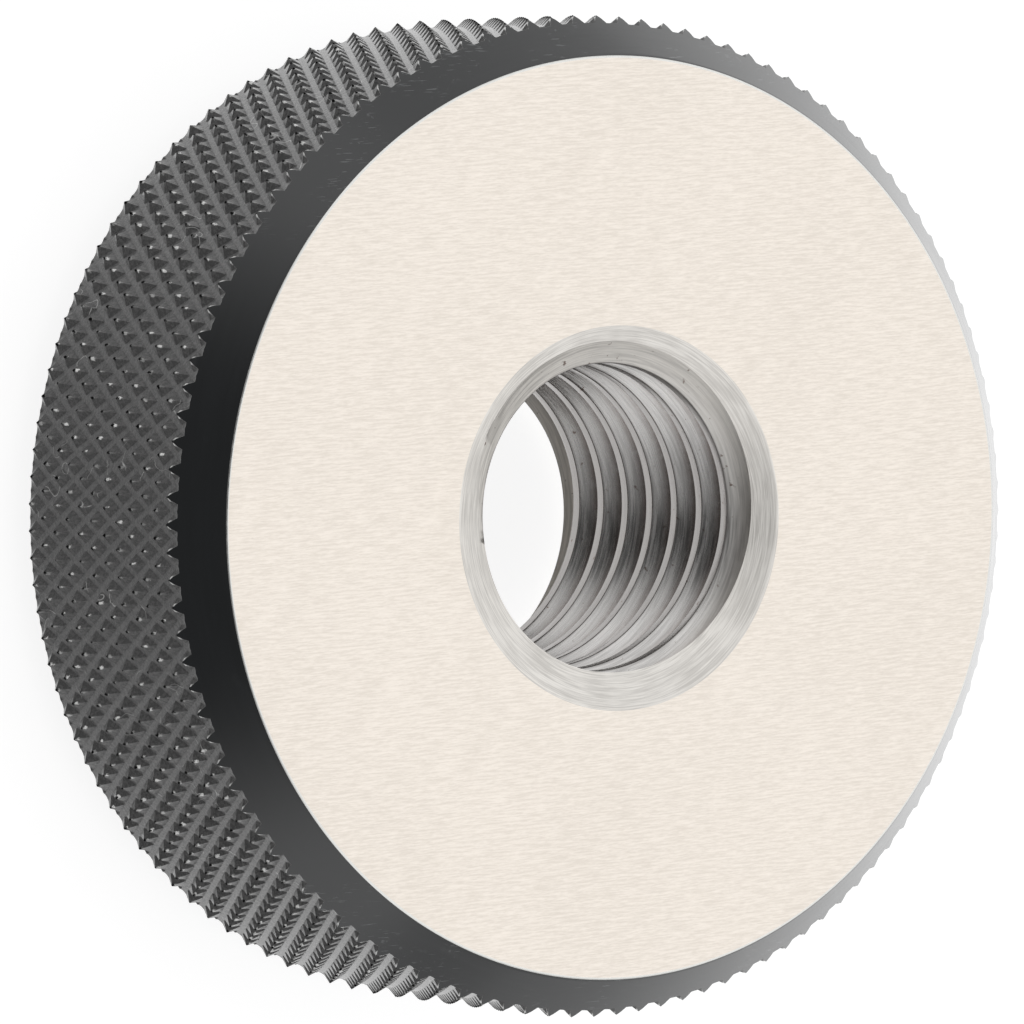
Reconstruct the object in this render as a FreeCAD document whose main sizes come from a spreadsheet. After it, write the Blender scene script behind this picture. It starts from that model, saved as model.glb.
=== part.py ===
import FreeCAD, Part
import math
import os
import Sketcher
from FreeCAD import Placement, Rotation, Vector

# Solid GO thread ring gauge, M16 x 2.
# It lies flat on its plain face: Z is the axis of the ring, Z = 0 the plain face and the marked
# face is on top. One piece of hardened steel: turned blank, knurled rim, ground faces, cut thread.

doc = FreeCAD.newDocument("thread_ring_gauge")

# Sizes in millimetres
sizes = doc.addObject("Spreadsheet::Sheet", "sizes")
values = [
    ("outer_diameter", 45.0, "over the tips of the knurl"),
    ("thickness", 16.0, "between the ground faces"),
    ("chamfer_width", 1.9, "across, from the edge of the face to the tips of the knurl"),
    ("chamfer_height", 2.1, "along the axis, from the face to the tips of the knurl"),
    ("thread_diameter", 16.0, "major diameter of the thread"),
    ("thread_pitch", 2.0, "one start, right hand"),
    ("thread_angle", 60.0, "between the two flanks of the groove, in degrees"),
    ("thread_phase", 0.91, "middle of the groove below the marked face, on the X axis"),
    ("countersink_margin", 0.55, "countersink on the face, past the major diameter"),
    ("countersink_depth", 0.65, "where the countersink meets the crest of the thread"),
    ("knurl_count", 116.0, "diamonds round the rim"),
    ("knurl_row_pitch", 2.15, "length of one diamond along the axis"),
    ("knurl_depth", 0.45, "tip to crossing"),
    ("knurl_phase", 0.1, "first row of tips above the edge of the chamfer"),
    ("knurl_overrun", 0.1, "pattern goes on at least so far under the chamfer"),
    ("turning_allowance", 1.0, "blank larger than the knurl all round"),
    ("cutter_overrun", 0.3, "thread cutter past the crest, so that the cut is clean"),
]
for row, (name, value, note) in enumerate(values, start=1):
    sizes.set(f"A{row}", name)
    sizes.set(f"B{row}", str(value))
    sizes.set(f"C{row}", note)
    sizes.setAlias(f"B{row}", name)

# Sizes that follow from the others
derived = [
    ("face_diameter", "=outer_diameter - 2 * chamfer_width", "outer edge of a ground face"),
    ("chamfer_slope", "=chamfer_height / chamfer_width", "height over width"),
    ("blank_radius", "=outer_diameter / 2 + turning_allowance", "before the knurl is rolled"),
    ("blank_edge", "=chamfer_height + chamfer_slope * turning_allowance", "chamfer at that radius"),
    ("flank_slope", "=tan(thread_angle / 2)", "half the groove's width over its depth"),
    ("sharp_height", "=thread_pitch / 2 / flank_slope", "of the thread if it had no flats"),
    ("bore_diameter", "=thread_diameter - 2 * 5 / 8 * sharp_height", "crest of the thread"),
    ("root_width", "=thread_pitch / 8", "flat at the bottom of the groove"),
    ("thread_depth", "=(thread_diameter - bore_diameter) / 2", "crest to root"),
    ("cutter_depth", "=thread_depth + cutter_overrun", "root to the wide side of the cutter"),
    ("cutter_width", "=root_width + 2 * cutter_depth * flank_slope", "wide side of the cutter"),
    ("turns_below", "=ceil(thickness / thread_pitch + 0.5)", "whole turns under the marked face"),
    ("cut_start", "=thickness - thread_phase - thread_pitch * turns_below", "start of the cut"),
    ("cut_length", "=thread_pitch * (turns_below + 1)", "through both faces"),
    ("countersink_diameter", "=thread_diameter + 2 * countersink_margin", "on the face"),
]
for row, (name, formula, note) in enumerate(derived, start=len(values) + 2):
    sizes.set(f"A{row}", name)
    sizes.set(f"B{row}", formula)
    sizes.set(f"C{row}", note)
    sizes.setAlias(f"B{row}", name)
doc.recompute()


def size(name):
    """Value of one cell of the sheet."""
    return float(sizes.get(name))


def plane(body, role):
    """One of the body's own origin planes or axes."""
    return next(f for f in body.Origin.OriginFeatures if f.Role == role)


def outline(body, name, corners):
    """Closed polygon in the XZ plane. A corner is a pair of formulas: radius and height."""
    sketch = body.newObject("Sketcher::SketchObject", name)
    sketch.AttachmentSupport = [(plane(body, "XZ_Plane"), "")]
    sketch.MapMode = "FlatFace"
    doc.recompute()
    points = []
    for across, up in corners:
        x = sketch.evalExpression(across)
        y = sketch.evalExpression(up)
        points.append(Vector(float(x), float(y), 0))
    count = len(points)
    for i in range(count):
        sketch.addGeometry(Part.LineSegment(points[i], points[(i + 1) % count]), False)
    for i in range(count):
        sketch.addConstraint(Sketcher.Constraint("Coincident", i, 2, (i + 1) % count, 1))
    for i, (across, up) in enumerate(corners):
        at = sketch.addConstraint(Sketcher.Constraint("DistanceX", -1, 1, i, 1, points[i].x))
        sketch.setExpression(f"Constraints[{at}]", across)
        if up == "0":
            sketch.addConstraint(Sketcher.Constraint("PointOnObject", i, 1, -1))
            continue
        at = sketch.addConstraint(Sketcher.Constraint("DistanceY", -1, 1, i, 1, points[i].y))
        sketch.setExpression(f"Constraints[{at}]", up)
    return sketch


# Turned blank
# A quarter of the ring is turned about Z and repeated four times. The chamfers run on past the
# tips of the knurl, so that they cut it as a turning tool cuts a knurled bar.
blank = doc.addObject("PartDesign::Body", "turned_blank")
section = outline(blank, "blank_section", [
    ("sizes.countersink_diameter / 2", "0"),
    ("sizes.face_diameter / 2", "0"),
    ("sizes.blank_radius", "sizes.blank_edge"),
    ("sizes.blank_radius", "sizes.thickness - sizes.blank_edge"),
    ("sizes.face_diameter / 2", "sizes.thickness"),
    ("sizes.countersink_diameter / 2", "sizes.thickness"),
    ("sizes.bore_diameter / 2", "sizes.thickness - sizes.countersink_depth"),
    ("sizes.bore_diameter / 2", "sizes.countersink_depth"),
])
quarter = blank.newObject("PartDesign::Revolution", "quarter_ring")
quarter.Profile = section
quarter.ReferenceAxis = (section, ["V_Axis"])
quarter.Angle = 90
quarter.Refine = False
section.Visibility = False
doc.recompute()
ring = blank.newObject("PartDesign::PolarPattern", "whole_ring")
ring.Originals = [quarter]
ring.Axis = (plane(blank, "Z_Axis"), [""])
ring.Angle = 360
ring.Occurrences = 4
ring.Refine = False
blank.Tip = ring
doc.recompute()
plain_volume = blank.Shape.Volume

# Thread
# The groove is a sixty degree V with a narrow flat root. What is left between two turns is the
# crest, a quarter of the pitch wide, on the bore's own cylinder.
groove = outline(blank, "groove_section", [
    ("sizes.thread_diameter / 2", "-sizes.root_width / 2"),
    ("sizes.thread_diameter / 2", "sizes.root_width / 2"),
    ("sizes.thread_diameter / 2 - sizes.cutter_depth", "sizes.cutter_width / 2"),
    ("sizes.thread_diameter / 2 - sizes.cutter_depth", "-sizes.cutter_width / 2"),
])
groove.setExpression("AttachmentOffset.Base.y", "sizes.cut_start")
doc.recompute()
thread = blank.newObject("PartDesign::SubtractiveHelix", "thread")
thread.Profile = groove
thread.ReferenceAxis = (groove, ["V_Axis"])
thread.Mode = 0
thread.setExpression("Pitch", "sizes.thread_pitch")
thread.setExpression("Height", "sizes.cut_length")
thread.Angle = 0
thread.LeftHanded = False
thread.Reversed = False
thread.Refine = False
groove.Visibility = False
blank.Tip = thread
doc.recompute()
print("plain ring", round(plain_volume, 1), "mm3, threaded", round(blank.Shape.Volume, 1), "mm3")


def knurled_bar():
    """Bar with a diamond knurl: tips and crossings alternate on a slanted lattice.

    Step i goes half a diamond round the rim and step j half a diamond along it. Where i + j is
    even a tip stands at the full radius, and elsewhere two V grooves cross at the full depth.
    Each cell of the lattice is two flat triangles that meet in the bottom of a groove.
    """
    tip = size("outer_diameter") / 2
    crossing = tip - size("knurl_depth")
    half_row = size("knurl_row_pitch") / 2
    around = 2 * int(round(size("knurl_count")))
    first = size("thickness") - size("chamfer_height") + size("knurl_phase")
    under_chamfer = size("knurl_depth") * size("chamfer_slope") + size("knurl_overrun")
    lowest = size("chamfer_height") - under_chamfer
    highest = size("thickness") - lowest
    last_step = math.ceil((highest - first) / half_row)
    steps = list(range(math.floor((lowest - first) / half_row), last_step + 1))

    def corner(i, j, height=None):
        radius = tip if (i + j) % 2 == 0 else crossing
        angle = 2 * math.pi * (i % around) / around
        z = first + j * half_row if height is None else height
        return Vector(radius * math.cos(angle), radius * math.sin(angle), z)

    faces = []
    for j in steps[:-1]:
        for i in range(around):
            a, b = corner(i, j), corner(i + 1, j)
            c, d = corner(i + 1, j + 1), corner(i, j + 1)
            if (i + j) % 2 == 0:
                halves = ((a, b, d), (c, d, b))
            else:
                halves = ((b, c, a), (d, a, c))
            for p, q, r in halves:
                faces.append(Part.Face(Part.makePolygon([p, q, r, p])))
    bottom = -size("turning_allowance")
    top = size("thickness") + size("turning_allowance")
    for j, height in ((steps[0], bottom), (steps[-1], top)):
        rim = []
        for i in range(around):
            a, b = corner(i, j), corner(i + 1, j)
            c, d = corner(i + 1, j, height), corner(i, j, height)
            faces.append(Part.Face(Part.makePolygon([a, b, c, d, a])))
            rim.append(d)
        faces.append(Part.Face(Part.makePolygon(rim + [rim[0]])))
    shell = Part.makeShell(faces)
    bar = Part.makeSolid(shell)
    if bar.Volume < 0:
        bar.reverse()
    return bar


bar = doc.addObject("Part::Feature", "knurled_bar")
bar.Shape = knurled_bar()
bar.Placement = Placement(Vector(0, 0, 0), Rotation())

gauge = doc.addObject("Part::Common", "gauge_ring")
gauge.Label = "gauge_ring"
gauge.Base = blank
gauge.Tool = bar
gauge.Refine = False
doc.recompute()

# Nothing is written unless every step has worked
for item in doc.Objects:
    if "Invalid" in item.State or "Error" in item.State:
        raise RuntimeError(f"{item.Name} failed: {item.State}")
if gauge.Shape.isNull() or not gauge.Shape.isValid() or len(gauge.Shape.Solids) != 1:
    raise RuntimeError("gauge_ring is not one valid solid")
os.makedirs("parts", exist_ok=True)
gauge.Shape.exportStep("parts/gauge_ring.step")
box = gauge.Shape.optimalBoundingBox(True, False)
print("gauge_ring", len(gauge.Shape.Faces), "faces, volume", round(gauge.Shape.Volume, 2), "mm3")
print("box", [round(v, 3) for v in (box.XMin, box.XMax, box.YMin, box.YMax, box.ZMin, box.ZMax)])
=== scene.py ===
# %% [markdown]
# # Thread ring gauge
# A ring gauge is one solid ring of hardened steel with a thread cut through it. A bolt that
# screws through passes the test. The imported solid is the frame: it gives the place and the
# overall size, and everything that is made here stays inside its box.

import bpy
import numpy as np
from mathutils import Matrix, Vector


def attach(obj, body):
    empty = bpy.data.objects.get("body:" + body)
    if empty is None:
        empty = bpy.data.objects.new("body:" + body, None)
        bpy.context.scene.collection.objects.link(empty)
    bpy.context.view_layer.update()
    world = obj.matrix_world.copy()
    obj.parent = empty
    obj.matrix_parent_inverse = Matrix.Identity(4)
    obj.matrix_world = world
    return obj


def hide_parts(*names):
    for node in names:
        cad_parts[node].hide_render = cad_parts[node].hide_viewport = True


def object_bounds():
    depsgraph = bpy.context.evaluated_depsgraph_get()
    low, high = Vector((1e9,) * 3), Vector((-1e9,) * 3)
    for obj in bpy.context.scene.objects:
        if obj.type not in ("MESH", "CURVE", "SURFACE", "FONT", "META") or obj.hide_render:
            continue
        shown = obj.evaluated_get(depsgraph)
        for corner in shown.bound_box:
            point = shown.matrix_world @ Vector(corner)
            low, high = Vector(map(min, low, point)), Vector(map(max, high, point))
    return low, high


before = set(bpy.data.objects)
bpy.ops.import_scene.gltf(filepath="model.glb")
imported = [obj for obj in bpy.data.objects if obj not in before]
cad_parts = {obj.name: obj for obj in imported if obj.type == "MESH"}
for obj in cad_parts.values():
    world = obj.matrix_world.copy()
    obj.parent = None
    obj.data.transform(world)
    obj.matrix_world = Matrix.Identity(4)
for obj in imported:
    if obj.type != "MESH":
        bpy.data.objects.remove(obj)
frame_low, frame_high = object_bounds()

print("frame box", tuple(frame_low), tuple(frame_high))

# %% [markdown]
# The shapes are worked out in millimetres, as on a drawing, and go into the mesh in metres.
# The outer radius and the thickness come from the frame. The other sizes are those of the
# turned blank, of the thread and of the knurl.

# %% Sizes in millimetres
MM = 0.001
outer_radius = round(frame_high.x / MM, 3)
thickness = round(frame_high.z / MM, 3)

chamfer_width = 1.9
chamfer_height = 2.1
face_radius = outer_radius - chamfer_width
broken_edge = 0.06  # every turned edge is broken by this much

thread_pitch = 2.0
thread_radius = 8.0
thread_phase = 0.91  # middle of the groove below the marked face, on the X axis
flank_tilt = np.radians(30)
sharp_height = thread_pitch / 2 / np.tan(flank_tilt)
crest_radius = thread_radius - 5 / 8 * sharp_height
countersink_margin = 0.55  # countersink on the face, past the thread
countersink_radius = thread_radius + countersink_margin
countersink_depth = 0.65  # where the countersink meets the crest of the thread
print("outer radius", outer_radius, "thickness", thickness, "crest radius", round(crest_radius, 4))

# %% [markdown]
# ## Surfaces as grids
# The rim and the bore are two grids: columns go round the axis, and rows go along the section
# from the marked face to the plain face. Each column has its angle, and each point a radius and
# a height. The first column comes again at the end, and welding points at the same place closes
# every seam.

# %% Grid helpers
# Numbers of the materials, in the order in which they go on the mesh
FACE, EDGE, CHAMFER, KNURL, COUNTERSINK, THREAD = range(6)
HALVINGS = 40  # finds a height to far less than a nanometre
support = 4  # a row so many broken edges from a corner keeps the side beyond it flat
patches = []


def round_axis(angle, radius, height):
    """Points at an angle round the axis, a distance from it and a height."""
    across = radius * np.cos(angle), radius * np.sin(angle)
    return np.stack(np.broadcast_arrays(*across, height), -1)


def make_grid(angle, radius, height, finish):
    """Points of a grid, the corners of its quads in four arrays, and the material of each quad.

    finish gives the material of each band between two rows.
    """
    points = round_axis(angle, radius, height)
    rows, columns = points.shape[:2]
    index = np.arange(rows * columns).reshape(rows, columns)
    a, b = index[:-1, :-1], index[:-1, 1:]
    c, d = index[1:, 1:], index[1:, :-1]
    return points.reshape(-1, 3), (a, b, c, d), np.repeat(finish, columns - 1)


def keep(points, triangles, finish):
    """Put a patch on the list, with one material number for each triangle."""
    patches.append((points, triangles, finish))


def halve(a, b, c, d, rising):
    """Two triangles for each quad, cut from b to d where rising is true and else from a to c."""
    a, b, c, d, rising = (x.ravel() for x in (a, b, c, d, rising))
    first = np.where(rising[:, None], np.stack([a, d, b], 1), np.stack([a, d, c], 1))
    second = np.where(rising[:, None], np.stack([b, d, c], 1), np.stack([a, c, b], 1))
    return np.concatenate([first, second])


def root_between(low, high, gap):
    """Height where gap is zero, by halving. gap is below zero at low and above zero at high."""
    for _ in range(HALVINGS):
        middle = (low + high) / 2
        above = gap(middle) > 0
        low, high = np.where(above, low, middle), np.where(above, middle, high)
    return (low + high) / 2


def broken(corner, before, after, size):
    """Rounded corner: three points of a parabola that leaves and meets the two sides."""
    start = corner + np.array(before) * size
    end = corner + np.array(after) * size
    return [start, (start + 2 * corner + end) / 4, end]


def spun(section, columns):
    """Radius and height of a section that is the same in every column of a grid."""
    return np.repeat(np.array(section).T[..., None], columns, axis=2)


# %% [markdown]
# ## Knurl
# A rolled diamond knurl is two families of V grooves that slant across each other. Counted in
# half diamonds, `step` goes round the rim and `row` along it. One family has its grooves where
# step + row is odd, the other where step - row is odd, and the deeper of the two counts. What is
# left is a four-sided point round each place where both are even. The rolling tool has narrow
# flat teeth, so the grooves have flat bottoms, a quarter of the pattern wide. They catch the
# light, and a chamfer that cuts the knurl ends in blunt lobes between sharp cusps.

# %% Knurl surface
knurl_count = 116  # diamonds round the rim
knurl_depth = 0.38
knurl_row_pitch = 2.15  # length of one diamond along the axis
half_row = knurl_row_pitch / 2
knurl_phase = 0.1  # first row of points above the edge of the chamfer
first_row = thickness - chamfer_height + knurl_phase
flank_end = 3 / 4  # of the way from a point to the middle of a groove
lines_per_step = 4  # columns of the mesh in half a diamond
shallowest_cut = 0.4 * chamfer_height  # the cone meets the knurl further than this from the face
deepest_cut = 1.5 * chamfer_height  # and nearer than this


def from_even(x):
    """Distance to the nearest even number: 0 on the ridge between two grooves, 1 in a groove."""
    return np.abs(x - 2 * np.round(x / 2))


def knurl_radius(step, height):
    """Outer radius less a depth that grows evenly from a point and stays level in the groove."""
    row = (height - first_row) / half_row
    from_point = np.maximum(from_even(step + row), from_even(step - row))
    return outer_radius - knurl_depth * np.minimum(from_point / flank_end, 1)


def chamfer_radius(below_face):
    """The chamfer is a cone: it widens evenly from the edge of the face."""
    return face_radius + below_face * chamfer_width / chamfer_height


steps_round = 2 * knurl_count
step = np.arange(steps_round * lines_per_step + 1) / lines_per_step
rim_angle = np.pi * step / knurl_count
top_edge = root_between(
    thickness - deepest_cut,
    thickness - shallowest_cut,
    lambda z: knurl_radius(step, z) - chamfer_radius(thickness - z),
)
bottom_edge = -root_between(
    -deepest_cut,
    -shallowest_cut,
    lambda z: knurl_radius(step, -z) - chamfer_radius(-z),
)
print("knurl runs out between", top_edge.min().round(3), "and", top_edge.max().round(3), "mm")

# %% [markdown]
# The rows of the knurl follow the lines of the lattice, so that every ridge is an edge of the
# mesh. Near a chamfer a line is squeezed in under the zigzag where the cone cuts the points off.
# A quad is cut along the groove that crosses it.

# %% Rim from face to face
squeeze = 0.025  # least distance between two rows of the mesh at the zigzag
rows_down = int(np.ceil(thickness / half_row)) * lines_per_step
heights = first_row + half_row * (lines_per_step - np.arange(rows_down)) / lines_per_step
heights = heights[(heights < top_edge.max()) & (heights > bottom_edge.min())]
line_number = np.arange(1, len(heights) + 1)[:, None]
knurl_heights = np.clip(
    heights[:, None],
    bottom_edge + squeeze * (len(heights) + 1 - line_number),
    top_edge - squeeze * line_number,
)

slope = np.array([chamfer_width, -chamfer_height]) / np.hypot(chamfer_width, chamfer_height)
join_radius = countersink_radius + 1.8  # the rim's grid ends here, in the flat of the face
face_corner = np.array([face_radius, thickness])
top_section = [
    np.array([join_radius, thickness]),
    np.array([(join_radius + face_radius) / 2, thickness]),
    np.array([face_radius - support * broken_edge, thickness]),
    *broken(face_corner, (-1, 0), slope, broken_edge),
    face_corner + slope * support * broken_edge,
    face_corner + slope * 3 * support * broken_edge,
]
top_radius, top_height = spun(top_section, len(step))
near_edge = top_edge + 2 * squeeze
near_low = bottom_edge - 2 * squeeze
rim_height = np.concatenate([
    top_height,
    near_edge[None],
    top_edge[None],
    knurl_heights,
    bottom_edge[None],
    near_low[None],
    thickness - top_height[::-1],
])
rim_radius = np.concatenate([
    top_radius,
    chamfer_radius(thickness - near_edge)[None],
    chamfer_radius(thickness - top_edge)[None],
    knurl_radius(step, knurl_heights),
    chamfer_radius(bottom_edge)[None],
    chamfer_radius(near_low)[None],
    top_radius[::-1],
])
top_bands = [FACE] * 3 + [EDGE] * 2 + [CHAMFER] * 4
bands = top_bands + [KNURL] * (len(heights) + 1) + top_bands[::-1]
points, (a, b, c, d), finish = make_grid(rim_angle, rim_radius, rim_height, bands)
middle_step = (step[:-1] + step[1:]) / 2
middle_row = ((rim_height[:-1, :-1] + rim_height[1:, 1:]) / 2 - first_row) / half_row
rising = (np.floor(middle_step) + np.floor(middle_row)) % 2 == 1
keep(points, halve(a, b, c, d, rising), np.tile(finish, 2))
print("rim:", len(points), "points,", len(bands), "bands")

# %% [markdown]
# ## Thread
# Seen in section the thread is a sixty degree groove with a narrow flat at the bottom and a wider
# flat between two turns, the crest. Its rows follow the helix, so that crest and flanks keep clean
# edges. A countersink cone cuts the thread off. The radius of the cone grows faster with height
# than that of any flank, so cone and thread meet at one height in each column. Rows past that
# height are drawn back to it, and welding takes out what has no area.

# %% Thread profile
crest_half = thread_pitch / 8
root_half = thread_pitch / 16
mouth_half = thread_pitch / 2 - crest_half
crest_break = 0.035
root_round = 0.1
toward_root = np.array([-np.sin(flank_tilt), np.cos(flank_tilt)])
crest_corner = np.array([mouth_half, crest_radius])
root_corner = np.array([root_half, thread_radius])
half_profile = np.array([
    np.array([thread_pitch / 2, crest_radius]),
    *broken(crest_corner, (1, 0), toward_root, crest_break),
    crest_corner + toward_root * support * crest_break,
    *broken(root_corner, -toward_root, (-1, 0), root_round),
    np.array([0.0, thread_radius]),
])
lower_half = half_profile[-2:0:-1] * [-1, 1]
profile = np.concatenate([half_profile, lower_half])
turns = int(np.ceil(thickness / thread_pitch)) + 2
turn_offset = -thread_pitch * np.arange(turns)
row_offset = (turn_offset[:, None] + profile[:, 0]).ravel()
row_radius = np.tile(profile[:, 1], turns)
print(turns, "turns of", len(profile), "rows each")

# %% [markdown]
# The height of a row is the height of the groove at that angle plus the row's offset. A full turn
# lifts the groove by one pitch, so the last column meets the first one a turn further on.

# %% Bore from face to face
bore_columns = steps_round
bore_angle = 2 * np.pi * np.arange(bore_columns + 1) / bore_columns
groove_height = thickness - thread_phase + thread_pitch * bore_angle / (2 * np.pi)


def thread_surface(height):
    """Radius of the endless thread at a height in each column, read from the profile."""
    return np.interp(height - groove_height, *profile.T, period=thread_pitch)


def cone_radius(below_face):
    """Countersink: it narrows evenly from the face down to the crest of the thread."""
    share = below_face / countersink_depth
    return countersink_radius + share * (crest_radius - countersink_radius)


cut_top = root_between(
    thickness - thread_pitch,
    thickness,
    lambda z: cone_radius(thickness - z) - thread_surface(z),
)
cut_bottom = -root_between(
    -thread_pitch,
    0.0,
    lambda z: cone_radius(-z) - thread_surface(-z),
)
thread_height = groove_height + row_offset[:, None]
thread_radii = np.broadcast_to(row_radius[:, None], thread_height.shape)
past_top = thread_height > cut_top
past_bottom = thread_height < cut_bottom
thread_radii = np.where(past_top, cone_radius(thickness - cut_top), thread_radii)
thread_radii = np.where(past_bottom, cone_radius(cut_bottom), thread_radii)
thread_height = np.clip(thread_height, cut_bottom, cut_top)

cone_slope = np.array([crest_radius - countersink_radius, -countersink_depth])
cone_slope = cone_slope / np.hypot(*cone_slope)
mouth = np.array([countersink_radius, thickness])
bore_join_radius = countersink_radius + 1.2  # the bore's grid ends here, inside the rim's
lip = [
    np.array([bore_join_radius, thickness]),
    mouth + [support * broken_edge, 0],
    *broken(mouth, (1, 0), cone_slope, broken_edge),
]
lip_radius, lip_height = spun(lip, len(bore_angle))
cone_rows = 5
down_cone = np.linspace(0.15, 1, cone_rows)[:, None]  # from the lip to where the thread begins
cone_top = lip_height[-1] + down_cone * (cut_top - lip_height[-1])
low_lip = thickness - lip_height[-1]
cone_low = low_lip + down_cone * (cut_bottom - low_lip)
bore_height = np.concatenate([
    lip_height, cone_top, thread_height, cone_low[::-1], thickness - lip_height[::-1],
])
bore_radii = np.concatenate([
    lip_radius,
    cone_radius(thickness - cone_top),
    thread_radii,
    cone_radius(cone_low[::-1]),
    lip_radius[::-1],
])
lip_bands = [FACE] * 2 + [COUNTERSINK] * 2
end_bands = lip_bands + [COUNTERSINK] * cone_rows
bore_bands = end_bands + [THREAD] * (len(row_radius) + 1) + end_bands[::-1]
points, (a, b, c, d), finish = make_grid(bore_angle, bore_radii, bore_height, bore_bands)
triangles = halve(a, b, c, d, np.zeros(a.shape, bool))
keep(points, triangles[:, ::-1], np.tile(finish, 2))
print("bore:", len(points), "points,", len(bore_bands), "bands")

# %% [markdown]
# ## One closed skin
# The rim has four times as many columns as the bore. They meet in a flat ring on each face, where
# four segments of the outer circle share one of the inner circle: two fan out from its first
# point, two from its last, and one triangle fills the middle.

# %% Flat rings that join rim and bore
outside = np.arange(len(step))
inside = len(step) + np.arange(bore_columns + 1)
first, last = inside[:-1], inside[1:]
start, early, half, late = outside[:-1].reshape(-1, lines_per_step).T
end = outside[lines_per_step::lines_per_step]
joined = np.concatenate([
    np.stack([start, early, first], 1),
    np.stack([early, half, first], 1),
    np.stack([half, last, first], 1),
    np.stack([half, late, last], 1),
    np.stack([late, end, last], 1),
])
around = np.concatenate([rim_angle, bore_angle])
away = np.repeat([join_radius, bore_join_radius], [len(step), len(bore_angle)])
keep(round_axis(around, away, thickness), joined, np.full(len(joined), FACE))
keep(round_axis(around, away, 0.0), joined[:, ::-1], np.full(len(joined), FACE))
print("flat rings:", len(joined), "triangles each")

# %% [markdown]
# The patches are put together, and points that round to the same place become one. The skin is
# closed when each side of a triangle is shared by exactly two triangles.

# %% Weld the patches
weld_distance = 1e-4


def weld(points, triangles):
    """Merge points that round to the same place, and mark the triangles that keep three corners."""
    places = np.round(points / weld_distance).astype(np.int64)
    _, kept, same = np.unique(places, axis=0, return_index=True, return_inverse=True)
    triangles = same.reshape(-1)[triangles]
    a, b, c = triangles.T
    return points[kept], triangles, (a != b) & (b != c) & (c != a)


starts = np.cumsum([0] + [len(patch[0]) for patch in patches])
points = np.concatenate([patch[0] for patch in patches])
triangles = np.concatenate([patch[1] + start for patch, start in zip(patches, starts)])
finish = np.concatenate([patch[2] for patch in patches])
points, triangles, has_area = weld(points, triangles)
triangles, finish = triangles[has_area], finish[has_area]

sides = np.sort(triangles[:, [0, 1, 1, 2, 2, 0]].reshape(-1, 2), axis=1)
uses = np.unique(sides, axis=0, return_counts=True)[1]
corner_places = np.moveaxis(points[triangles], 1, 0)
volume = np.sum(corner_places[0] * np.cross(corner_places[1], corner_places[2])) / 6
print(len(points), "points,", len(triangles), "triangles, open sides:", int((uses != 2).sum()))
print("volume", round(float(volume), 1), "mm3")

# %% [markdown]
# Where two triangles turn away from each other by more than a set angle, their edge is shaded
# sharp, so the points of the knurl stay crisp. A broken edge takes its corner in smaller turns,
# and is shaded smooth.

# %% Ring mesh
SHARP = np.radians(37)
mesh = bpy.data.meshes.new("ring_skin")
mesh.vertices.add(len(points))
mesh.vertices.foreach_set("co", (points * MM).ravel())
mesh.loops.add(triangles.size)
mesh.loops.foreach_set("vertex_index", triangles.ravel())
mesh.polygons.add(len(triangles))
mesh.polygons.foreach_set("loop_start", np.arange(0, triangles.size, 3))
mesh.polygons.foreach_set("material_index", finish)
mesh.update(calc_edges=True)
mesh.validate()
mesh.shade_smooth()
mesh.set_sharp_from_angle(angle=SHARP)
ring = bpy.data.objects.new("ring_skin", mesh)
bpy.context.scene.collection.objects.link(ring)
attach(ring, "root")
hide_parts("gauge_ring")
print("ring_skin has", len(mesh.polygons), "faces")

# %% [markdown]
# ## Finishes
# The ring is one steel with six finishes: ground faces, bright broken edges, blackened turned
# chamfers, a blackened knurl with worn points, a turned countersink and a lapped thread. Every
# pattern is made by nodes on the piece's own coordinates, in metres. These helpers keep a
# material short.

# %% Node helpers
def add(tree, kind, *inputs, output=0, **settings):
    """Add a shader node and give back one output. Inputs are values or other nodes' outputs."""
    made = tree.nodes.new("ShaderNode" + kind)
    for name, value in settings.items():
        setattr(made, name, value)
    for socket, value in zip(made.inputs, inputs):
        fill(tree, socket, value)
    return made.outputs[output]


def fill(tree, socket, value):
    """Link an output to the socket, or write a value into it. None leaves it as it is."""
    if isinstance(value, bpy.types.NodeSocket):
        tree.links.new(value, socket)
    elif value is not None:
        socket.default_value = value


def sum_of(tree, first, second):
    """One value plus another."""
    return add(tree, "Math", first, second, operation="ADD")


def product(tree, first, second):
    """One value times another."""
    return add(tree, "Math", first, second, operation="MULTIPLY")


def greater(tree, first, second):
    """The greater of two values."""
    return add(tree, "Math", first, second, operation="MAXIMUM")


def ramp(tree, value, low, high, at_low=0.0, at_high=1.0):
    """The value's range low to high becomes at_low to at_high, with soft ends."""
    return add(tree, "MapRange", value, low, high, at_low, at_high, interpolation_type="SMOOTHSTEP")


def shade(tree, share, first, second):
    """Colour from first to second. Colours are red, green and blue."""
    made = tree.nodes.new("ShaderNodeMix")
    made.data_type = "RGBA"
    colours = [c if isinstance(c, bpy.types.NodeSocket) else (*c, 1) for c in (first, second)]
    for index, value in zip((0, 6, 7), (share, *colours)):
        fill(tree, made.inputs[index], value)
    return made.outputs[2]


def noise(tree, place, scale, detail=2.0, roughness=0.5):
    """Soft noise, mostly from 0.3 to 0.7. scale is the number of waves in one unit of the place."""
    return add(tree, "TexNoise", place, None, scale, detail, roughness)


def bump(tree, height, rise):
    """Normal of a surface that rises by that many metres where height is one."""
    return add(tree, "Bump", 1.0, rise, None, height)


def new_material(name, **sockets):
    """Material with one Principled shader. Sockets are named as there, with underscores."""
    made = bpy.data.materials.new(name)
    made.use_nodes = True
    shader = made.node_tree.nodes["Principled BSDF"]
    for socket, value in sockets.items():
        shader.inputs[socket.replace("_", " ")].default_value = value
    return made, made.node_tree, shader


def wire(tree, shader, **sockets):
    """Link outputs to the shader's sockets."""
    for socket, value in sockets.items():
        tree.links.new(value, shader.inputs[socket.replace("_", " ")])


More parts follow.
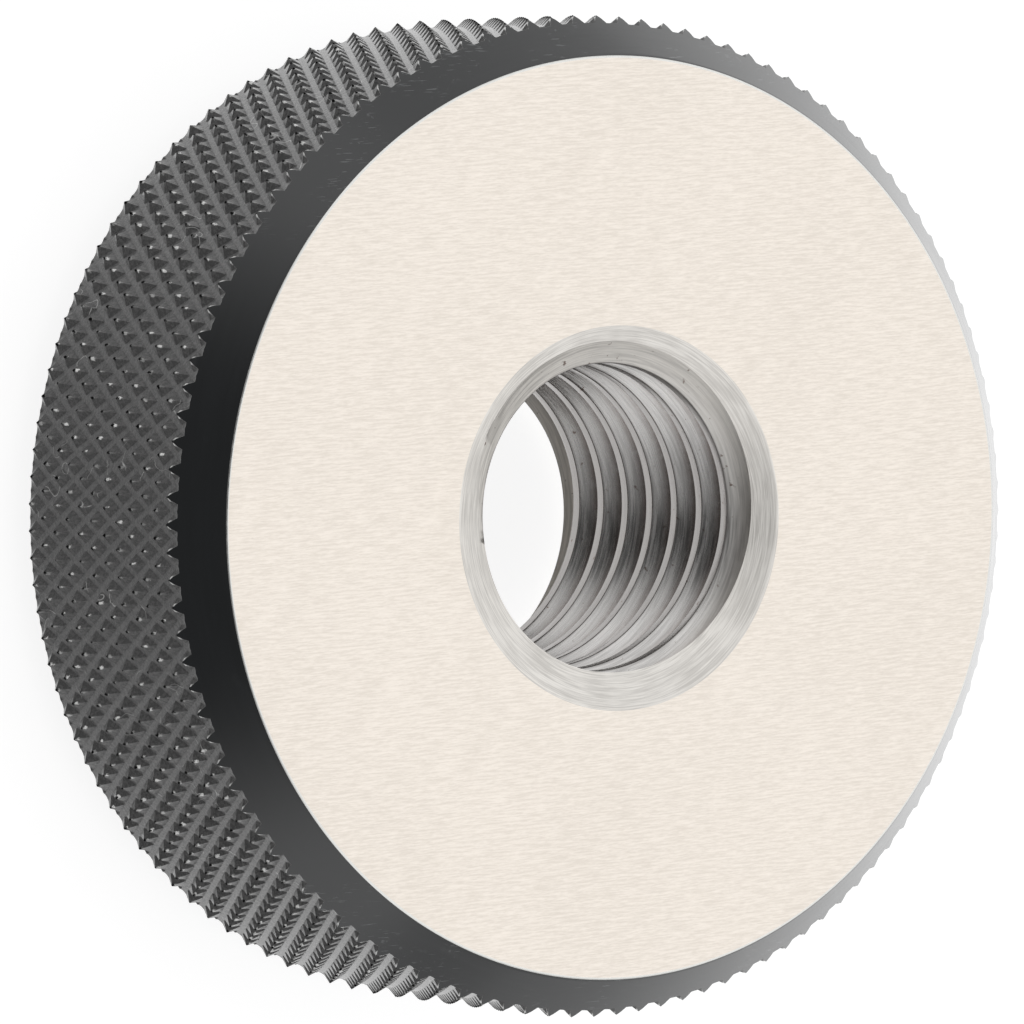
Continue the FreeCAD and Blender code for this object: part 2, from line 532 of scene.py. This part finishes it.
def object_place(tree):
    """Place on the piece, in metres."""
    return add(tree, "TexCoord", output="Object")


def flat_place(tree, place):
    """Place with its height set to zero."""
    return add(tree, "VectorMath", place, (1, 1, 0), operation="MULTIPLY")


def radius_and_height(tree, place):
    """Distance from the axis, and height."""
    radius = add(tree, "VectorMath", flat_place(tree, place), operation="LENGTH", output="Value")
    return radius, add(tree, "SeparateXYZ", place, output="Z")


def off_middle(tree, height):
    """Distance up or down from the middle of the ring's thickness."""
    return add(tree, "Math", sum_of(tree, height, -thickness / 2 * MM), operation="ABSOLUTE")


def turning_lines(tree, place, lines_per_metre, breaks):
    """Noise drawn out round the axis, as a lathe tool leaves it. It has no seam."""
    radius, height = radius_and_height(tree, place)
    outward = add(tree, "VectorMath", flat_place(tree, place), operation="NORMALIZE")
    along = add(tree, "VectorMath", outward, None, None, breaks, operation="SCALE")
    across = product(tree, sum_of(tree, radius, product(tree, height, 0.6)), lines_per_metre)
    lifted = add(tree, "VectorMath", along, add(tree, "CombineXYZ", 0, 0, across), operation="ADD")
    return noise(tree, lifted, 1.0, 3.0, 0.6)


# %% [markdown]
# ### Ground face
# A surface grinder leaves short fine scratches in one direction. The steel is bright and a little
# warm. Noise that is stretched a lot along one axis gives the scratches, a broad noise the soft
# changes of tone, and a sparse cell pattern the few small nicks.

# %% Ground face
GRIND_ANGLE = np.radians(3)
SHORT_GRAIN = 2600, 17000, 1  # waves in a metre, along and across the scratches
LONG_GRAIN = 800, 10000, 1
GROUND_TONES = (0.80, 0.735, 0.66), (0.96, 0.89, 0.81)
NICK_COLOUR = 0.22, 0.19, 0.16


def ground_steel():
    """Bright ground steel with fine grain and a few dark nicks."""
    made, tree, shader = new_material("ground_steel", Metallic=1.0)
    place = object_place(tree)
    short = add(tree, "Mapping", place, None, (0, 0, GRIND_ANGLE), SHORT_GRAIN)
    long = add(tree, "Mapping", place, None, (0, 0, GRIND_ANGLE), LONG_GRAIN)
    both = sum_of(tree, noise(tree, short, 1.0, 3.0, 0.65), noise(tree, long, 1.0))
    grain = product(tree, both, 0.5)
    broad = noise(tree, place, 150.0)
    cells = add(tree, "TexVoronoi", place, None, 210.0)
    chosen = add(tree, "SeparateColor", cells.node.outputs["Color"])
    nick = product(tree, ramp(tree, cells, 0.035, 0.015), ramp(tree, chosen, 0.55, 0.6))
    tone = sum_of(tree, product(tree, grain, 0.92), product(tree, broad, 0.08))
    steel = shade(tree, ramp(tree, tone, 0.36, 0.64), *GROUND_TONES)
    wire(
        tree, shader,
        Base_Color=shade(tree, nick, steel, NICK_COLOUR),
        Roughness=ramp(tree, grain, 0.35, 0.65, 0.30, 0.40),
        Normal=bump(tree, grain, 1.5e-6),
    )
    return made


# %% [markdown]
# ### Broken edges
# The turned edges are rubbed bright. They are a narrow band of their own in the mesh.

# %% Bright edge
EDGE_TONES = (0.72, 0.72, 0.70), (0.88, 0.88, 0.85)


def bright_edge():
    """Rubbed steel along an edge."""
    made, tree, shader = new_material("bright_edge", Metallic=1.0)
    rubbed = noise(tree, object_place(tree), 3000.0)
    wire(
        tree, shader,
        Base_Color=shade(tree, rubbed, *EDGE_TONES),
        Roughness=ramp(tree, rubbed, 0.3, 0.7, 0.2, 0.32),
    )
    return made


# %% [markdown]
# ### Blackened chamfer
# Black oxide on a turned cone, with a film of oil: almost black when you look straight at it, and
# bright at a grazing angle. One layer with a high index of refraction would be grey all round.
# Two thin ones, the oxide and a coat for the oil, are dark in front and add up at the edge.

# %% Blackened chamfer
SCRATCH_TURNS = np.radians(-8), np.radians(62)
STROKE_GRAIN = 1200, 15000, 1200  # waves in a metre, along and across the strokes
RUBBED_FROM = 11 * MM, 17 * MM  # aside of the X axis, where the scratches start and are full
OXIDE_TONES = (0.002, 0.0035, 0.0045), (0.006, 0.008, 0.010)
RUB_COLOUR = 0.035, 0.037, 0.040
SCRATCH_COLOUR = 0.11, 0.115, 0.12


def short_strokes(tree, place, turn):
    """Short straight scratches in one direction: the few highest waves of a drawn-out noise."""
    drawn = add(tree, "Mapping", place, None, (0, 0, turn), STROKE_GRAIN)
    return ramp(tree, noise(tree, drawn, 1.0, 1.0), 0.68, 0.74)


def rubbed_sides(tree, place):
    """Patches on the two sides that the ring rolls and is set down on, away from the X axis."""
    aside = add(tree, "Math", add(tree, "SeparateXYZ", place, output="Y"), operation="ABSOLUTE")
    patch = ramp(tree, noise(tree, place, 330.0, 1.0), 0.45, 0.6)
    return product(tree, patch, ramp(tree, aside, *RUBBED_FROM))


def black_oxide():
    """Near black with a blue cast, fine turning lines, pale rubs and scratches, under oil."""
    made, tree, shader = new_material("black_oxide", IOR=1.5, Coat_Weight=0.8, Coat_Roughness=0.12)
    place = object_place(tree)
    lines = turning_lines(tree, place, 13000, 5.0)
    haze = noise(tree, place, 260.0, 4.0, 0.6)
    rubs = product(tree, ramp(tree, haze, 0.6, 0.75), ramp(tree, lines, 0.5, 0.65))
    strokes = [short_strokes(tree, place, turn) for turn in SCRATCH_TURNS]
    specks = ramp(tree, noise(tree, place, 3600.0), 0.66, 0.74, 0.0, 0.6)
    marks = greater(tree, greater(tree, *strokes), specks)
    scratches = product(tree, marks, rubbed_sides(tree, place))
    oxide = shade(tree, rubs, shade(tree, lines, *OXIDE_TONES), RUB_COLOUR)
    wire(
        tree, shader,
        Base_Color=shade(tree, scratches, oxide, SCRATCH_COLOUR),
        Roughness=sum_of(tree, ramp(tree, lines, 0.3, 0.7, 0.13, 0.2), product(tree, haze, 0.06)),
        Normal=bump(tree, lines, 2e-6),
    )
    return made


# %% [markdown]
# ### Blackened knurl
# The same oxide on a rolled surface is duller. Rolling pushed the metal up from two sides, so
# each point has a small pit where the sides didn't close, its shade painted near black into
# the colour, and beside it the tip is worn bright.
# The edge from there toward the marked face is rubbed a little, and a few thin scratches curl
# over the knurl. The masks repeat the formula of the mesh: they count in half diamonds round and
# along the rim, and each point has random numbers of its own, so no two marks are alike. The
# tool that turned the chamfer left a thin bright burr where it cut the knurl. Its mask is the
# distance from the cone of the chamfer.

# %% Blackened knurl
cone_reach = (face_radius + thickness / 2 * chamfer_width / chamfer_height) * MM
BURR_FROM = cone_reach - 0.11 * MM, cone_reach - 0.02 * MM  # where it starts and is full
KNURL_TONES = (0.001, 0.001, 0.001), (0.055, 0.053, 0.053)
# Painted shade: the shadow inside each pit, given as a near-black colour
PIT_SHADE_COLOUR = 0.003, 0.003, 0.003
BARE_COLOUR = 0.72, 0.72, 0.71
# Sizes are in half diamonds, places beside a point in its two counts, and shares of bare metal
PIT_SIZE = 0.13
WORN_SIZES = 0.05, 0.16
WORN_NEAREST = 0.05, -0.05, 0
WORN_SPREAD = 0.16, -0.16, 0
WORN_SHARES = 0.3, 0.9
RIDGE_SHARES = 0.1, 0.7


def burr_beside_chamfer(tree, radius, height):
    """One where the knurl meets a chamfer: radius plus sloped height reaches that of the cone."""
    sloped = product(tree, off_middle(tree, height), chamfer_width / chamfer_height)
    return ramp(tree, sum_of(tree, radius, sloped), *BURR_FROM)


def beside_point(tree, place, height):
    """Place beside the nearest point of the knurl, and a random colour that is its own.

    As in the mesh, steps plus rows and steps less rows are both even on a point. What is left of
    each past its nearest even number, from -1 to 1, is the place, and a groove lies at 1.
    """
    x = add(tree, "SeparateXYZ", place, output="X")
    y = add(tree, "SeparateXYZ", place, output="Y")
    steps = product(tree, add(tree, "Math", y, x, operation="ARCTAN2"), knurl_count / np.pi)
    rows = product(tree, sum_of(tree, height, -first_row * MM), 1 / (half_row * MM))
    beside, numbers = [], []
    for sign in ("ADD", "SUBTRACT"):
        count = add(tree, "Math", steps, rows, operation=sign)
        even = add(tree, "Math", sum_of(tree, count, 1.0), 2.0, operation="SNAP")
        beside.append(add(tree, "Math", count, even, operation="SUBTRACT"))
        numbers.append(add(tree, "Math", even, float(steps_round), 0.0, operation="WRAP"))
    luck = add(tree, "TexWhiteNoise", add(tree, "CombineXYZ", *numbers), output="Color")
    return add(tree, "CombineXYZ", *beside), luck


def distance_from_point(tree, beside):
    """Zero on every point of the knurl and one in the grooves."""
    away = add(tree, "VectorMath", beside, operation="ABSOLUTE")
    return greater(tree, *(add(tree, "SeparateXYZ", away, output=name) for name in ("X", "Y")))


def own_share(tree, luck, channel, edges, shares):
    """One of a point's random numbers, brought from between the edges to between the shares."""
    return ramp(tree, add(tree, "SeparateColor", luck, output=channel), *edges, *shares)


def spot(tree, beside, middle, size, ragged):
    """One inside a small ragged spot with its middle at that place beside the point."""
    off = add(tree, "VectorMath", beside, middle, operation="SUBTRACT")
    far = add(tree, "VectorMath", off, operation="LENGTH", output="Value")
    inside = add(tree, "Math", size, sum_of(tree, far, ragged), operation="SUBTRACT")
    return ramp(tree, inside, -0.05, 0.03)


def worn_ridge(tree, beside):
    """One along the sharp edge that runs from each point toward the marked face, near the point.

    The two counts are equal and opposite on that edge: their sum is zero and their difference
    is twice the distance along it, in half diamonds.
    """
    counts = [add(tree, "SeparateXYZ", beside, output=name) for name in ("X", "Y")]
    aside = add(tree, "Math", sum_of(tree, *counts), operation="ABSOLUTE")
    along = add(tree, "Math", *counts, operation="SUBTRACT")
    near = product(tree, ramp(tree, along, -0.1, 0.15), ramp(tree, along, 0.95, 0.35))
    return product(tree, ramp(tree, aside, 0.15, 0.04), near)


def hair_scratches(tree, place, scale, width):
    """Thin curly lines: where a noise passes through one half. A second noise keeps a few."""
    level = sum_of(tree, noise(tree, place, scale, 1.0), -0.5)
    line = ramp(tree, add(tree, "Math", level, operation="ABSOLUTE"), width, 0.0)
    return product(tree, line, ramp(tree, noise(tree, place, scale * 0.7), 0.56, 0.62))


def knurled_oxide():
    """Dull oxide with painted pit shade on each point, worn metal beside it and a burr along the
    chamfer.
    """
    made, tree, shader = new_material("knurled_oxide", IOR=1.35, Coat_IOR=1.35, Coat_Roughness=0.25)
    place = object_place(tree)
    radius, height = radius_and_height(tree, place)
    fine = noise(tree, place, 11000.0, 3.0, 0.65)
    speckle = noise(tree, place, 5200.0, 4.0, 0.7)
    ragged = product(tree, sum_of(tree, speckle, -0.5), 0.7)
    beside, luck = beside_point(tree, place, height)
    size = own_share(tree, luck, "Blue", (0.0, 1.0), WORN_SIZES)
    wear = own_share(tree, luck, "Green", (0.0, 0.8), WORN_SHARES)
    edge_wear = own_share(tree, luck, "Red", (0.2, 0.9), RIDGE_SHARES)
    move = add(tree, "VectorMath", luck, WORN_SPREAD, operation="MULTIPLY")
    worn_middle = add(tree, "VectorMath", move, WORN_NEAREST, operation="ADD")
    worn = product(tree, spot(tree, beside, worn_middle, size, ragged), wear)
    # Painted shade: the pits are not cut into the mesh, so their shadow is painted near black, with
    # the coat taken off
    pit_shade = spot(tree, beside, (0, 0, 0), PIT_SIZE, ragged)
    hairs = product(tree, hair_scratches(tree, place, 600.0, 0.006), 0.6)
    ridge = product(tree, worn_ridge(tree, beside), product(tree, edge_wear, speckle))
    cusp = ramp(tree, distance_from_point(tree, beside), 0.55, 0.2, 0.4, 1.0)
    burr = product(tree, burr_beside_chamfer(tree, radius, height), product(tree, cusp, fine))
    bare = ramp(tree, burr, 0.12, 0.5, 0.0, 0.9)
    for mark in (worn, hairs, ridge):
        bare = greater(tree, bare, mark)
    bare = product(tree, bare, ramp(tree, pit_shade, 0.0, 1.0, 1.0, 0.0))
    oxide = shade(tree, ramp(tree, speckle, 0.44, 0.6), *KNURL_TONES)
    oxide = shade(tree, pit_shade, oxide, PIT_SHADE_COLOUR)
    wire(
        tree, shader,
        Base_Color=shade(tree, bare, oxide, BARE_COLOUR),
        Metallic=greater(tree, bare, pit_shade),
        Roughness=sum_of(tree, ramp(tree, fine, 0.3, 0.7, 0.3, 0.5), product(tree, pit_shade, 0.3)),
        Normal=bump(tree, sum_of(tree, speckle, product(tree, pit_shade, -0.5)), 50e-6),
        Coat_Weight=ramp(tree, pit_shade, 0.0, 1.0, 0.9, 0.0),
    )
    return made


# %% [markdown]
# ### Bare countersink and thread
# Both are bare steel. The countersink shows the lines of its tool. The flanks of the thread are
# lapped smooth, and toward the bottom of the groove they darken with painted shade and a little
# dark oil.

# %% Countersink and thread
COUNTERSINK_TONES = (0.57, 0.55, 0.52), (0.84, 0.815, 0.775)
FLANK_TONES = (0.46, 0.45, 0.44), (0.74, 0.725, 0.71)
CREST_COLOUR = 0.40, 0.385, 0.375
# Painted shade and oil: the colour toward which the bottom of the groove darkens, also used for the
# specks
OIL_AND_SHADE_COLOUR = 0.14, 0.082, 0.062
RUN_OUT = 0.9, 2.2  # millimetres below a face, between which the flanks change their finish


def countersink_steel():
    """Turned bare steel."""
    made, tree, shader = new_material("countersink_steel", Metallic=1.0)
    place = object_place(tree)
    lines = turning_lines(tree, place, 14000, 4.0)
    broad = noise(tree, place, 500.0)
    tone = sum_of(tree, product(tree, lines, 0.75), product(tree, broad, 0.25))
    wire(
        tree, shader,
        Base_Color=shade(tree, ramp(tree, tone, 0.35, 0.65), *COUNTERSINK_TONES),
        Roughness=ramp(tree, lines, 0.35, 0.65, 0.30, 0.42),
        Normal=bump(tree, lines, 3e-6),
    )
    return made


def away_from_faces(tree, height):
    """One inside the bore, falling to zero near both faces, where the groove runs out."""
    return ramp(tree, off_middle(tree, height), *((thickness / 2 - below) * MM for below in RUN_OUT))


def thread_steel():
    """Lapped flanks with lines along the turn, painted shade and dark oil toward the bottom of the
    groove.

    Where the groove runs out, its flank lies nearly in the cone of the countersink and has the
    same dull turned finish, so the two look like one surface there.
    """
    made, tree, shader = new_material("thread_steel", Metallic=1.0)
    place = object_place(tree)
    radius, height = radius_and_height(tree, place)
    lines = turning_lines(tree, place, 9000, 3.0)
    streak = ramp(tree, lines, 0.3, 0.7)
    spots = noise(tree, place, 2500.0, 4.0, 0.6)
    inside = away_from_faces(tree, height)
    # Painted shade with oil: the colour darkens with depth toward the bottom of the groove, where
    # the next crest shades it, broken up by spots
    depth = ramp(tree, radius, (crest_radius + 0.25) * MM, (thread_radius - 0.1) * MM)
    oil_and_shade = product(tree, product(tree, depth, ramp(tree, spots, 0.25, 0.55, 0.5, 0.9)), inside)
    flank = shade(tree, streak, *FLANK_TONES)
    flank = shade(tree, inside, shade(tree, streak, *COUNTERSINK_TONES), flank)
    on_crest = ramp(tree, radius, (crest_radius + 0.06) * MM, (crest_radius + 0.01) * MM)
    steel = shade(tree, on_crest, flank, CREST_COLOUR)
    specks = ramp(tree, spots, 0.66, 0.72, 0.0, 0.8)
    dull = ramp(tree, inside, 0.0, 1.0, 0.28, 0.0)
    wire(
        tree, shader,
        Base_Color=shade(tree, greater(tree, oil_and_shade, specks), steel, OIL_AND_SHADE_COLOUR),
        Roughness=sum_of(tree, ramp(tree, lines, 0.3, 0.7, 0.18, 0.32), dull),
        Normal=bump(tree, lines, 2e-6),
    )
    return made


FINISHES = ground_steel, bright_edge, black_oxide, knurled_oxide, countersink_steel, thread_steel
for make_finish in FINISHES:
    mesh.materials.append(make_finish())
print("finishes:", [m.name for m in mesh.materials])

# %% [markdown]
# ## Studio
# The ring lies on a pale floor. It is grey by itself and takes the ring's shadow, and a glow that
# only the camera and reflections see brings it to white. In a reflection the glow is strongest
# beside the ring and falls off further away, where the steel of the chamfer shows it darker.

# %% Floor
FLOOR_REACH = 3.0  # metres from the middle to each side
FLOOR_GREY = 0.3, 0.3, 0.3, 1
FLOOR_GLOW = 0.86  # as the camera sees it; the light that falls on the floor adds the rest
LIT_MIDDLE = 0.03, 0.04, 0.0  # where reflections show the floor brightest, in metres
LIT_EDGES = 0.03, 0.16  # metres from there, between which the glow falls off
GLOSS_SHARES = 1.1, 0.6  # of the glow, in a reflection, inside and outside these edges
floor_corners = np.array([[-1, -1, 0], [1, -1, 0], [1, 1, 0], [-1, 1, 0]]) * FLOOR_REACH
floor_mesh = bpy.data.meshes.new("floor")
floor_mesh.from_pydata(floor_corners.tolist(), [], [(0, 1, 2, 3)])
floor = bpy.data.objects.new("floor", floor_mesh)
bpy.context.scene.collection.objects.link(floor)


def seen_share(tree):
    """One for rays from the camera and through glass, a share in gloss, zero for all others."""
    rays = add(tree, "LightPath").node.outputs
    off = add(tree, "VectorMath", object_place(tree), LIT_MIDDLE, operation="SUBTRACT")
    away = add(tree, "VectorMath", off, operation="LENGTH", output="Value")
    gloss = product(tree, rays["Is Glossy Ray"], ramp(tree, away, *LIT_EDGES, *GLOSS_SHARES))
    return greater(tree, greater(tree, rays["Is Camera Ray"], gloss), rays["Is Transmission Ray"])


white, tree, shader = new_material(
    "floor_white", Base_Color=FLOOR_GREY, Roughness=1.0, Emission_Color=(1, 1, 1, 1)
)
wire(tree, shader, Emission_Strength=product(tree, seen_share(tree), FLOOR_GLOW))
floor_mesh.materials.append(white)
print("floor", 2 * FLOOR_REACH, "m wide")

# %% [markdown]
# The room is a pale dome that is dark on the camera's side, as in a light tent with an opening.
# It makes the chamfer nearly black on the left. The lens is a second, small dark spot higher
# up, and the flanks of the thread show it as a dark band at the same height on every turn. Two
# soft seams of the tent, in front and behind, make the chamfer darker at its top and bottom.

# %% Light
# Each patch has a middle, edges and a level. The edges are cosines of the angle from the middle,
# where the patch starts and where it is darkest, and the level is how bright it is there.
DARK_SIDE = Vector((-0.86, 0.0, 0.51)).normalized()
SIDE_EDGES = 0.45, 0.95
SIDE_LEVEL = 0.18
LENS_SPOT = Vector((-0.42, 0.14, 0.90)).normalized()
LENS_EDGES = 0.95, 0.99
LENS_LEVEL = 0.25
FRONT_SEAM = Vector((0.3, -0.92, 0.16)).normalized()
FRONT_LEVEL = 0.6
BACK_SEAM = Vector((0.28, 0.9, 0.27)).normalized()
BACK_LEVEL = 0.8
SEAM_EDGES = 0.87, 0.97
PATCHES = (
    (DARK_SIDE, SIDE_EDGES, SIDE_LEVEL),
    (LENS_SPOT, LENS_EDGES, LENS_LEVEL),
    (FRONT_SEAM, SEAM_EDGES, FRONT_LEVEL),
    (BACK_SEAM, SEAM_EDGES, BACK_LEVEL),
)
world = bpy.data.worlds.new("light_tent")
bpy.context.scene.world = world
world.use_nodes = True
tree = world.node_tree
background = tree.nodes["Background"]
direction = add(tree, "TexCoord", output="Generated")


def dark_patch(tree, middle, edges, darkest):
    """One all round, falling to the darkest level toward the middle of the patch."""
    toward = add(tree, "VectorMath", direction, middle, operation="DOT_PRODUCT", output="Value")
    return ramp(tree, toward, *edges, 1.0, darkest)


level = 1.0
for patch in PATCHES:
    level = product(tree, level, dark_patch(tree, *patch))
straight = add(tree, "LightPath", output="Is Camera Ray")
fill(tree, background.inputs["Strength"], greater(tree, level, straight))
background.inputs["Color"].default_value = (1, 1, 1, 1)
print("light tent with", len(PATCHES), "dark patches")

# %% [markdown]
# ## Camera
# It looks down at the marked face at 33 degrees from the ring's axis, from 41 cm away. Place, aim
# and up direction were fitted to the edges in the photograph, and the turn about the axis to the
# points of the knurl.

# %% Camera
CAMERA_PLACE = Vector((-0.22254, 0.02483, 0.34662))
CAMERA_AIM = Vector((-0.00039, 0.00008, 0.00776))
CAMERA_UP = Vector((0.0695, 0.9972, -0.0273))
LENS_MM = 314.4
camera_data = bpy.data.cameras.new("camera")
camera_data.lens = LENS_MM
camera_data.sensor_width = 36
camera_data.clip_start, camera_data.clip_end = 0.01, 20
camera = bpy.data.objects.new("camera", camera_data)
bpy.context.scene.collection.objects.link(camera)
back = (CAMERA_PLACE - CAMERA_AIM).normalized()
right = CAMERA_UP.cross(back).normalized()
turned = Matrix((right, back.cross(right), back)).transposed().to_4x4()
camera.matrix_world = Matrix.Translation(CAMERA_PLACE) @ turned
bpy.context.scene.camera = camera
bpy.context.scene.view_settings.view_transform = "Standard"
print("camera", round((CAMERA_PLACE - CAMERA_AIM).length, 4), "m away")
